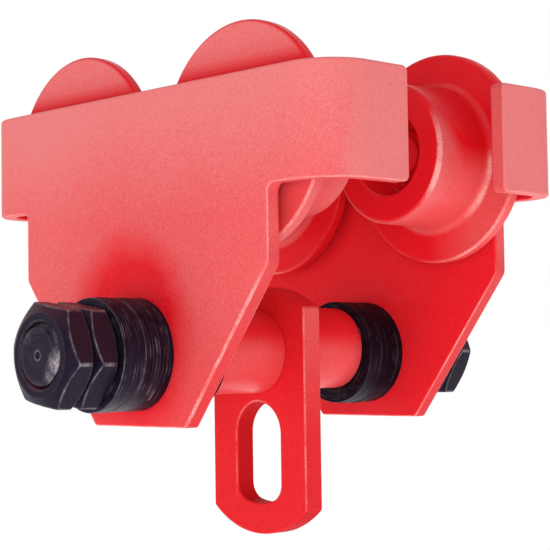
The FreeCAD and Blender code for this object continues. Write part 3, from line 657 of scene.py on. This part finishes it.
def skin(name, rings, weights, closed):
    """Mesh over rings of points.  The last ring joins the first where closed, or else the ends are capped.

    Each ring has one weight, or one for each of its points, kept as the attribute that says how near an
    edge is.
    """
    columns = len(rings[0])
    points = [point for ring in rings for point in ring]
    faces = []
    pairs = [(row, row + 1) for row in range(len(rings) - 1)]
    if closed:
        pairs.append((len(rings) - 1, 0))
    else:
        faces.append(list(range(columns)))
        faces.append([(len(rings) - 1) * columns + column for column in reversed(range(columns))])
    for first, second in pairs:
        for column in range(columns):
            after = (column + 1) % columns
            faces.append([
                first * columns + column, second * columns + column,
                second * columns + after, first * columns + after,
            ])
    mesh = bpy.data.meshes.new(name)
    mesh.from_pydata(points, [], faces)
    work = bmesh.new()
    work.from_mesh(mesh)
    bmesh.ops.recalc_face_normals(work, faces=work.faces)
    for face in work.faces:
        face.smooth = True
    work.to_mesh(mesh)
    work.free()
    edge = mesh.attributes.new("edge", "FLOAT", "POINT")
    flat = []
    for weight in weights:
        flat.extend(weight if isinstance(weight, (list, tuple)) else [weight] * columns)
    edge.data.foreach_set("value", flat)
    return mesh


def ring_at(radius, along, angles, centre=BOLT_AXIS):
    """Ring of points round an axis along Y.  The radius is one number, or one for each angle."""
    radii = radius if isinstance(radius, (list, tuple)) else [radius] * len(angles)
    return [centre + Vector((r * math.cos(a), along, r * math.sin(a))) for r, a in zip(radii, angles)]


def even_angles(count):
    """Angles all round, evenly spaced."""
    return [2 * math.pi * step / count for step in range(count)]


def new_piece(name, mesh, material, slot, *nodes):
    """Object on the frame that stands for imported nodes."""
    if not mesh.materials:
        mesh.materials.append(material)
    piece = bpy.data.objects.new(name, mesh)
    bpy.context.scene.collection.objects.link(piece)
    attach(piece, "frame")
    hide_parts(*nodes)


def soft_least(first, second, blend):
    """Lesser of two numbers, rounded where they meet, and how near that meeting is."""
    gap = (first - second) / blend
    far = 30
    if abs(gap) > far:
        return min(first, second), 0.0
    least = -blend * math.log(math.exp(-first / blend) + math.exp(-second / blend))
    share = 1 / (1 + math.exp(gap))
    return least, 4 * share * (1 - share)


def washer_section(thickness, bore, radius, roll):
    """Points (radius, along, edge weight) round the cut section of one washer, its middle at 0."""
    half = thickness / 2
    # The punch rolls one edge over and leaves the other sharp, on a rim that leans in a little
    sheared, lean = 0.16 * MM, 0.05 * MM
    roll_steps, sheared_steps = 5, 3
    points = []
    for step in range(roll_steps + 1):
        turn = math.pi / 2 * step / roll_steps
        points.append((
            radius - roll + roll * math.sin(turn), half - roll + roll * math.cos(turn), math.sin(2 * turn),
        ))
    points += [
        (radius, half - 1.6 * roll, 0.0),
        (radius - 0.4 * lean, 0.0, 0.0),
        (radius - lean, -half + 2.5 * sheared, 0.0),
    ]
    for step in range(sheared_steps + 1):
        turn = math.pi / 2 * step / sheared_steps
        points.append((
            radius - lean - sheared + sheared * math.cos(turn), -half + sheared - sheared * math.sin(turn),
            0.8 * math.sin(2 * turn),
        ))
    return points + [
        (radius - 4 * sheared, -half, 0.0),
        (bore + 4 * sheared, -half, 0.0),
        (bore + sheared, -half, 0.4),
        (bore, -half + sheared, 0.4),
        (bore, half - roll, 0.2),
        (bore + 0.5 * roll, half - 0.2 * roll, 0.3),
        (bore + roll, half, 0.0),
        (radius - 2 * roll, half, 0.0),
    ]


def washer_tree():
    """Geometry nodes that stack copies of one washer along the bolt, each a little off its axis."""
    tree = bpy.data.node_groups.new("washer_stack", "GeometryNodeTree")
    tree.is_modifier = True
    for label, kind in (
        ("Washer", "Geometry"), ("Count", "Int"), ("Start", "Vector"), ("Step", "Vector"),
        ("Wander", "Float"), ("Seed", "Int"), ("Steel", "Material"),
    ):
        tree.interface.new_socket(label, in_out="INPUT", socket_type="NodeSocket" + kind)
    tree.interface.new_socket("Stack", in_out="OUTPUT", socket_type="NodeSocketGeometry")
    given = tree.nodes.new("NodeGroupInput").outputs
    end = tree.nodes.new("NodeGroupOutput")

    def draw(kind, socket, least, most):
        """Random value of a kind, between the terms on its sockets."""
        node = add(tree, "FunctionNodeRandomValue", {"data_type": kind}, Seed=given["Seed"])
        put(tree, node.inputs[socket], least)
        put(tree, node.inputs[socket + 1], most)
        return node

    line = add(
        tree, "GeometryNodeMeshLine", Count=given["Count"], Start_Location=given["Start"],
        Offset=given["Step"],
    )
    back = Term(tree, given["Wander"]) * -1.0
    least = add(tree, "ShaderNodeCombineXYZ", X=back, Z=back)
    most = add(tree, "ShaderNodeCombineXYZ", X=given["Wander"], Z=given["Wander"])
    wander = draw("FLOAT_VECTOR", 0, least.outputs[0], most.outputs[0])
    moved = add(tree, "GeometryNodeSetPosition", Geometry=line.outputs[0], Offset=wander.outputs[0])
    turn = draw("FLOAT", 2, 0.0, 2 * math.pi)
    flip = draw("INT", 4, 0, 1)
    over = Term(tree, flip.outputs[2]) * math.pi
    angles = add(tree, "ShaderNodeCombineXYZ", X=over, Y=turn.outputs[1])
    rotation = add(tree, "FunctionNodeEulerToRotation", Euler=angles.outputs[0])
    copies = add(
        tree, "GeometryNodeInstanceOnPoints", Points=moved.outputs[0], Instance=given["Washer"],
        Rotation=rotation.outputs[0],
    )
    solid = add(tree, "GeometryNodeRealizeInstances", Geometry=copies.outputs[0])
    dressed = add(tree, "GeometryNodeSetMaterial", Geometry=solid.outputs[0], Material=given["Steel"])
    put(tree, end.inputs[0], dressed.outputs[0])
    return tree


class TROLLEY_OT_side_plates(bpy.types.Operator):
    """Paint the two bent side plates and the axles riveted into them"""

    bl_idname = "trolley.side_plates"
    bl_label = "Side plates"

    def execute(self, context):
        for step, side in enumerate(SIDES):
            shift = (0.31 * step, 0.17, 0.05)
            material = enamel("plate_enamel_" + side, shift, plate_zones(), shine=0.05, coat=0.02)
            axles = ["stub_axle_" + corner for corner in CORNERS if side in corner]
            finish_nodes(material, "side_plate_" + side, *axles)
        return {"FINISHED"}


class TROLLEY_OT_wheels(bpy.types.Operator):
    """Paint the four flanged track wheels"""

    bl_idname = "trolley.wheels"
    bl_label = "Track wheels"

    def execute(self, context):
        material = enamel(
            "wheel_enamel", (0.73, 0.41, 0.23), wheel_zones(), gloss_change=-0.06, shine=0.08, coat=0.04,
        )
        finish_nodes(material, *("track_wheel_" + corner for corner in CORNERS))
        return {"FINISHED"}


class TROLLEY_OT_hanger(bpy.types.Operator):
    """Paint the hanger plate and the two spacer tubes"""

    bl_idname = "trolley.hanger"
    bl_label = "Hanger and tubes"

    def execute(self, context):
        # Painted shade: the hanger takes the deep colour in place of the enamel's own
        hanger = enamel(
            "hanger_enamel", (0.11, 0.83, 0.47), hanger_zones(), shade=1.0, shine=0.03, coat=0.0,
        )
        finish_nodes(hanger, "hanger_plate")
        # Painted shade: the tubes are made part way darker toward the deep colour
        tubes = enamel("tube_enamel", (0.57, 0.29, 0.91), tube_zones(), shade=0.3)
        finish_nodes(tubes, *("spacer_tube_" + side for side in SIDES))
        return {"FINISHED"}


class TROLLEY_OT_washers(bpy.types.Operator):
    """Stack the washers on the load bolt"""

    bl_idname = "trolley.washers"
    bl_label = "Washers"

    def execute(self, context):
        stack = context.scene.trolley_stack
        metal = context.scene.trolley_steel
        black = Vector(metal.black)
        looks = {
            # Painted shade: the inner washers, between the plates, get a darker coating and fewer rubbed
            # edges and scratches
            "inner": {"coating": 0.6 * black, "scratches": 0.5, "edge_wear": 0.1, "shine": 0.03},
            "outer": {"coating": black, "scratches": 1.0, "edge_wear": 0.4},
        }
        materials = {
            place: steel(place + "_washer_black", bare=metal.rubbed, shift=(0.2, 0.1, 0.4), **look)
            for place, look in looks.items()
        }
        thickness = stack.washer_thickness
        tree = washer_tree()
        inputs = {
            item.name: item.identifier for item in tree.interface.items_tree if item.in_out == "INPUT"
        }
        angles = even_angles(144)
        # Play round the bolt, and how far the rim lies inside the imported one
        play, margin = 0.3 * MM, 0.05 * MM
        for step, (place, side) in enumerate((place, side) for place in materials for side in SIDES):
            node = "%s_washers_%s" % (place, side)
            low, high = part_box(node)
            radius = (high.z - low.z) / 2 - margin
            section = washer_section(thickness, BOLT_RADIUS + play, radius, stack.washer_roll)
            rings = [ring_at(r, along, angles, Vector()) for r, along, _ in section]
            mesh = skin(node + "_one", rings, [weight for _, _, weight in section], closed=True)
            seat = bpy.data.objects.new(node + "_seat", mesh)
            context.scene.collection.objects.link(seat)
            modifier = seat.modifiers.new("stack", "NODES")
            modifier.node_group = tree
            settings = {
                "Count": round((high.y - low.y) / thickness),
                "Start": (0.0, low.y + thickness / 2, BOLT_AXIS.z),
                "Step": (0.0, thickness, 0.0),
                "Wander": stack.washer_wander,
                "Seed": stack.washer_seed + step,
                "Steel": materials[place],
            }
            for label, setting in settings.items():
                modifier[inputs[label]] = setting
            settled = seat.evaluated_get(context.evaluated_depsgraph_get())
            stacked = bpy.data.meshes.new_from_object(settled)
            bpy.data.objects.remove(seat)
            new_piece("washers_%s_%s" % (place, side), stacked, materials[place], "black_steel", node)
        return {"FINISHED"}


class TROLLEY_OT_nuts(bpy.types.Operator):
    """Make the adjusting nuts and lock nuts"""

    bl_idname = "trolley.nuts"
    bl_label = "Hexagon nuts"

    def execute(self, context):
        metal = context.scene.trolley_steel
        # The nuts get a painted reflection of the red plates on their upward faces
        material = steel(
            "nut_black", metal.black, metal.rubbed, (0.6, 0.3, 0.1), lines=1700.0, gloss=0.38, shine=0.035,
            scratches=0.05, upward_reflection=0.10,
        )
        for kind in ("adjusting_nut", "lock_nut"):
            for side in SIDES:
                node = "%s_%s" % (kind, side)
                mesh = nut_mesh(node, context.scene.trolley_stack)
                new_piece("%s_body_%s" % (kind, side), mesh, material, "black_steel", node)
        return {"FINISHED"}


# Rows down a nut's bevel, as shares of the bevel's depth
BEVEL_ROWS = (
    0.02, 0.06, 0.11, 0.16, 0.22, 0.28, 0.35, 0.43, 0.51,
    0.59, 0.68, 0.77, 0.85, 0.93, 0.98, 1.04, 1.11, 1.26,
)


def nut_mesh(node, stack):
    """Hexagon nut over a packed one: the same flats, corners and bevels, with rounded edges."""
    low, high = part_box(node)
    spots = (vertex.co for vertex in NODES[node].data.vertices)
    corner = max(spots, key=lambda point: point.x) - BOLT_AXIS
    turn = math.atan2(corner.z, corner.x)
    corner_radius = math.hypot(corner.x, corner.z)
    half_side = math.pi / 6
    flat = corner_radius * math.cos(half_side)
    bore, mouth = 15.05 * MM, 1.2 * MM
    # How softly the bevel meets the flats and the flats meet each other, and what that takes off a corner
    bevel_blend, corner_blend, corner_cut = 0.16 * MM, 0.08 * MM, 0.22 * MM
    plain = (stack.nut_face, stack.nut_drop)
    bevels = {"low": plain, "high": plain}
    if node.startswith("lock"):
        bevels["high" if low.y > 0 else "low"] = (stack.lock_face, stack.lock_drop)

    # Columns round the nut lie closer together towards its corners
    steps = 30
    sector = [half_side * math.sin(math.pi / 2 * (2 * step / steps - 1)) for step in range(steps)]
    angles, walls, corners = [], [], []
    for side in range(6):
        for spot in sector:
            angles.append(turn + half_side + side * 2 * half_side + spot)
            wall, near = soft_least(flat / math.cos(spot), corner_radius - corner_cut, corner_blend)
            walls.append(wall)
            corners.append(near)

    def half_of_nut(end):
        """Rings from the bore over one face and down its bevel, as radius, depth and edge weight."""
        face, drop = bevels[end]
        rings = [
            (bore, mouth + 0.2 * MM, 0.0), (bore + 0.1 * MM, mouth - 0.1 * MM, 0.0),
            (bore + mouth - 0.1 * MM, 0.12 * MM, 0.25), (bore + mouth + 0.08 * MM, 0.0, 0.15),
            (bore + mouth + 0.45 * MM, 0.0, 0.0),
            (face - 0.55 * MM, 0.0, 0.0), (face - 0.14 * MM, 0.0, 0.05), (face, 0.012 * MM, 0.15),
        ]
        for share in BEVEL_ROWS:
            row, near_row = [], []
            for wall, near_corner in zip(walls, corners):
                radius, near = soft_least(wall, face + share * (corner_radius - face), bevel_blend)
                row.append(radius)
                near_row.append(max(near, near_corner if radius > wall - 2 * bevel_blend else 0.0))
            rings.append((row, share * drop, near_row))
        return rings

    rings, weights = [], []
    for radius, depth, weight in half_of_nut("low"):
        rings.append(ring_at(radius, low.y + depth, angles))
        weights.append(weight)
    for radius, depth, weight in reversed(half_of_nut("high")):
        rings.append(ring_at(radius, high.y - depth, angles))
        weights.append(weight)
    return skin(node + "_body", rings, weights, closed=True)


class TROLLEY_OT_load_bolt(bpy.types.Operator):
    """Make the load bolt, with a cut thread at each end"""

    bl_idname = "trolley.load_bolt"
    bl_label = "Load bolt"

    def execute(self, context):
        metal = context.scene.trolley_steel
        material = steel(
            "bolt_black", metal.black, metal.rubbed, (0.9, 0.5, 0.7), lines=1900.0, gloss=0.36, shine=0.045,
            scratches=0.1,
        )
        mesh = bolt_mesh(context.scene.trolley_stack)
        new_piece("load_bolt_body", mesh, material, "black_steel", "load_bolt")
        return {"FINISHED"}


def bolt_mesh(stack):
    """Round bar with a dimple in each end, a chamfer, and a thread that runs out along the bar."""
    angles = even_angles(96)
    pitch, length = stack.thread_pitch, stack.thread_length
    chamfer, chamfer_blend = 2.2 * MM, 0.1 * MM
    cut = 0.61 * pitch
    rows_per_turn = 10
    # Painted glints on the rim of the end face, over a little wear all round: how much, round which angle,
    # and how close to it
    spots, least = ((1.5, -0.5, 7), (0.7, 2.35, 24)), 0.1
    wear_and_glints = [
        max(least, *(much * max(0.0, math.cos(angle - spot)) ** close for much, spot, close in spots))
        for angle in angles
    ]
    # Rings over the end face, from the dimple out: radius, depth and edge weight; the outer two carry the
    # painted glints
    end_face = [
        (0.02 * MM, 1.6 * MM, 0.0), (0.7 * MM, 1.1 * MM, 0.0), (1.75 * MM, 0.22 * MM, 0.0),
        (2.0 * MM, 0.03 * MM, 0.8), (2.3 * MM, 0.0, 0.4), (3.0 * MM, 0.0, 0.0), (7.5 * MM, 0.0, 0.0),
        (BOLT_RADIUS - chamfer - 2.4 * MM, 0.0, [0.7 * max(0.0, wear_and_glint - 0.2) for wear_and_glint in wear_and_glints]),
        (BOLT_RADIUS - chamfer - 0.1 * MM, 0.0, wear_and_glints),
    ]

    def thread_ring(depth, along):
        """Radii and edge weights round the thread, at a depth from the end of the bolt."""
        row, near = [], []
        fade_out = min(1.0, max(0.0, (length - depth) / (2 * pitch)))
        cone = BOLT_RADIUS - chamfer + depth
        for angle, wear_and_glint in zip(angles, wear_and_glints):
            phase = (along / pitch - angle / (2 * math.pi)) % 1.0
            wave = min(1.0, max(0.0, abs(2 * phase - 1) * 1.45 - 0.2))
            spot, closeness = soft_least(BOLT_RADIUS - cut * fade_out * (1 - wave), cone, chamfer_blend)
            row.append(spot)
            crest = 0.5 if wave >= 1.0 and depth > chamfer else 0.0
            # Painted glints on the chamfer, besides wear on its edge and the thread's crests
            near.append(max(closeness * 0.4, wear_and_glint if depth < chamfer else 0.0, crest))
        return row, near

    ends = []
    count = round(length / pitch * rows_per_turn)
    for sign in (-1, 1):
        rings = [(radius, sign * (BOLT_HIGH.y - depth), weight) for radius, depth, weight in end_face]
        for step in range(count + 1):
            depth = 0.05 * MM + length * step / count
            along = sign * (BOLT_HIGH.y - depth)
            row, near = thread_ring(depth, along)
            rings.append((row, along, near))
        ends.append(rings)
    rings = ends[0] + list(reversed(ends[1]))
    places = [ring_at(radius, along, angles) for radius, along, _ in rings]
    return skin("load_bolt_body", places, [weight for _, _, weight in rings], closed=False)


class TROLLEY_OT_bearings(bpy.types.Operator):
    """Finish the ball bearings and circlips of the wheels"""

    bl_idname = "trolley.bearings"
    bl_label = "Bearings and circlips"

    def execute(self, context):
        metal = context.scene.trolley_steel
        kinds = {
            "ground": {
                "coating": metal.ground, "bare": metal.ground, "lines": 3200.0, "gloss": 0.30, "metal": 1.0,
                "depth": 0.004 * MM,
            },
            "pressed": {
                "coating": metal.pressed, "bare": metal.ground, "lines": 900.0, "gloss": 0.38, "metal": 1.0,
                "depth": 0.01 * MM,
            },
            "spring": {
                "coating": metal.spring, "bare": metal.rubbed, "lines": 1500.0, "gloss": 0.42, "metal": 0.8,
                "depth": 0.01 * MM,
            },
        }
        pieces = {
            "ground": ("bearing_outer_rings", "bearing_inner_rings", "bearing_balls"),
            "pressed": ("bearing_cages", "bearing_shields"),
            "spring": ("wheel_circlip", "axle_circlip"),
        }
        for step, corner in enumerate(CORNERS):
            low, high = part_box("track_wheel_" + corner)
            for kind, look in kinds.items():
                material = steel(
                    "%s_steel_%s" % (kind, corner), shift=(0.13 * step, 0.37, 0.61), centre=(low + high) / 2,
                    spray=context.scene.trolley_paint.deep, **look,
                )
                finish_nodes(material, *("%s_%s" % (piece, corner) for piece in pieces[kind]))
        return {"FINISHED"}


def softbox(name, place, aim, width, height, radiance):
    """Area lamp that faces a point."""
    lamp = bpy.data.lights.new(name, "AREA")
    lamp.shape = "RECTANGLE"
    lamp.size, lamp.size_y = width, height
    lamp.energy = radiance * math.pi * width * height
    box = bpy.data.objects.new(name, lamp)
    box.location = place
    box.rotation_euler = (Vector(aim) - Vector(place)).to_track_quat("-Z", "Y").to_euler()
    bpy.context.scene.collection.objects.link(box)
    return box


def seen_rays(tree):
    """1 for rays that show the background: camera, glossy and transmission rays."""
    path = tree.nodes.new("ShaderNodeLightPath").outputs
    return largest(*(Term(tree, path["Is %s Ray" % kind]) for kind in ("Camera", "Glossy", "Transmission")))


class TROLLEY_OT_stage(bpy.types.Operator):
    """Set up the floor, the lamps and the camera"""

    bl_idname = "trolley.stage"
    bl_label = "Stage"

    def execute(self, context):
        scene = context.scene
        stage = scene.trolley_stage
        scene.view_settings.view_transform = "Standard"
        level = CAD_BOX[0].z - stage.floor_drop
        self.make_world(scene, stage)
        self.make_floor(scene, level)
        for name, place, width, height in SOFTBOXES:
            softbox(name + "_softbox", place, MIDDLE, width, height, getattr(stage, name + "_box"))
        x, y, _ = LOW_SOFTBOX_AIM
        place, side = (x, y, level + LOW_SOFTBOX_LIFT), LOW_SOFTBOX_SIDE
        low = softbox("low_softbox", place, LOW_SOFTBOX_AIM, side, side, stage.low_box)
        low.visible_camera = False
        self.make_camera(scene, stage)
        return {"FINISHED"}

    def make_world(self, scene, stage):
        """Plain light from all round, white where it is seen."""
        world = bpy.data.worlds.new("studio")
        world.use_nodes = True
        scene.world = world
        tree = world.node_tree
        tree.nodes.clear()
        ambient = add(tree, "ShaderNodeBackground", Color=WHITE, Strength=stage.ambient)
        white = add(tree, "ShaderNodeBackground", Color=WHITE, Strength=1.0)
        shown = tree.nodes.new("ShaderNodeMixShader")
        put_all(tree, shown, seen_rays(tree), ambient.outputs[0], white.outputs[0])
        end = tree.nodes.new("ShaderNodeOutputWorld")
        put(tree, end.inputs["Surface"], shown.outputs[0])

    def make_floor(self, scene, level):
        """Pale floor, brighter where it is seen."""
        mesh = bpy.data.meshes.new("floor")
        signs = ((-1, -1), (1, -1), (1, 1), (-1, 1))
        corners = [(FLOOR_REACH * x, FLOOR_REACH * y, level) for x, y in signs]
        mesh.from_pydata(corners, [], [(0, 1, 2, 3)])
        material, tree, shader = new_material("pale_floor")
        point = surface_point(tree, (0.0, 0.0, 0.0))
        tone = point.noise(3.0, 2.0).spread(0.3, 0.7)
        colour = tone.mix((0.86, 0.86, 0.86, 1.0), (0.89, 0.89, 0.89, 1.0))
        put(tree, shader.inputs["Base Color"], colour)
        shader.inputs["Roughness"].default_value = 0.9
        shader.inputs["Specular IOR Level"].default_value = 0.0
        shader.inputs["Emission Color"].default_value = WHITE
        put(tree, shader.inputs["Emission Strength"], seen_rays(tree) * FLOOR_GLOW)
        mesh.materials.append(material)
        floor = bpy.data.objects.new("floor", mesh)
        scene.collection.objects.link(floor)

    def make_camera(self, scene, stage):
        """Camera at the photograph's place."""
        yaw, pitch, roll = (math.radians(turn) for turn in (YAW, PITCH, ROLL))
        depth = Vector((
            -math.sin(yaw) * math.cos(pitch), math.cos(yaw) * math.cos(pitch), math.sin(pitch),
        ))
        right = Vector((math.cos(yaw), math.sin(yaw), 0.0))
        up = right.cross(depth)
        across = math.cos(roll) * right + math.sin(roll) * up
        upward = math.cos(roll) * up - math.sin(roll) * right
        turned = Matrix((across, upward, -depth)).transposed()
        lens = bpy.data.cameras.new("camera")
        lens.lens = stage.lens
        lens.sensor_width = SENSOR_MM
        lens.clip_start, lens.clip_end = 0.02, 60.0
        camera = bpy.data.objects.new("camera", lens)
        camera.matrix_world = Matrix.Translation(EYE) @ turned.to_4x4()
        scene.collection.objects.link(camera)
        scene.camera = camera


class TROLLEY_PT_panel(bpy.types.Panel):
    """Steps that finish the trolley"""

    bl_idname = "TROLLEY_PT_panel"
    bl_label = "Beam trolley"
    bl_space_type = "VIEW_3D"
    bl_region_type = "UI"
    bl_category = "Trolley"

    def draw(self, context):
        for step in STEPS:
            self.layout.operator(step.bl_idname)
        for name in SETTINGS:
            box = self.layout.box()
            group = getattr(context.scene, name)
            for label in group.bl_rna.properties.keys():
                if label not in ("rna_type", "name"):
                    box.prop(group, label)


SETTINGS = {
    "trolley_paint": PaintSettings,
    "trolley_steel": SteelSettings,
    "trolley_stack": StackSettings,
    "trolley_stage": StageSettings,
}
STEPS = (
    TROLLEY_OT_side_plates, TROLLEY_OT_wheels, TROLLEY_OT_hanger, TROLLEY_OT_washers, TROLLEY_OT_nuts,
    TROLLEY_OT_load_bolt, TROLLEY_OT_bearings, TROLLEY_OT_stage,
)


def register():
    """Add the settings, steps and panel."""
    for name, group in SETTINGS.items():
        bpy.utils.register_class(group)
        setattr(bpy.types.Scene, name, PointerProperty(type=group))
    for step in STEPS + (TROLLEY_PT_panel,):
        bpy.utils.register_class(step)


def unregister():
    """Take the settings, steps and panel away again."""
    for step in reversed(STEPS + (TROLLEY_PT_panel,)):
        bpy.utils.unregister_class(step)
    for name, group in reversed(list(SETTINGS.items())):
        delattr(bpy.types.Scene, name)
        bpy.utils.unregister_class(group)


def main():
    """Run every step."""
    register()
    for step in STEPS:
        category, name = step.bl_idname.split(".")
        getattr(getattr(bpy.ops, category), name)()


if __name__ == "__main__":
    main()
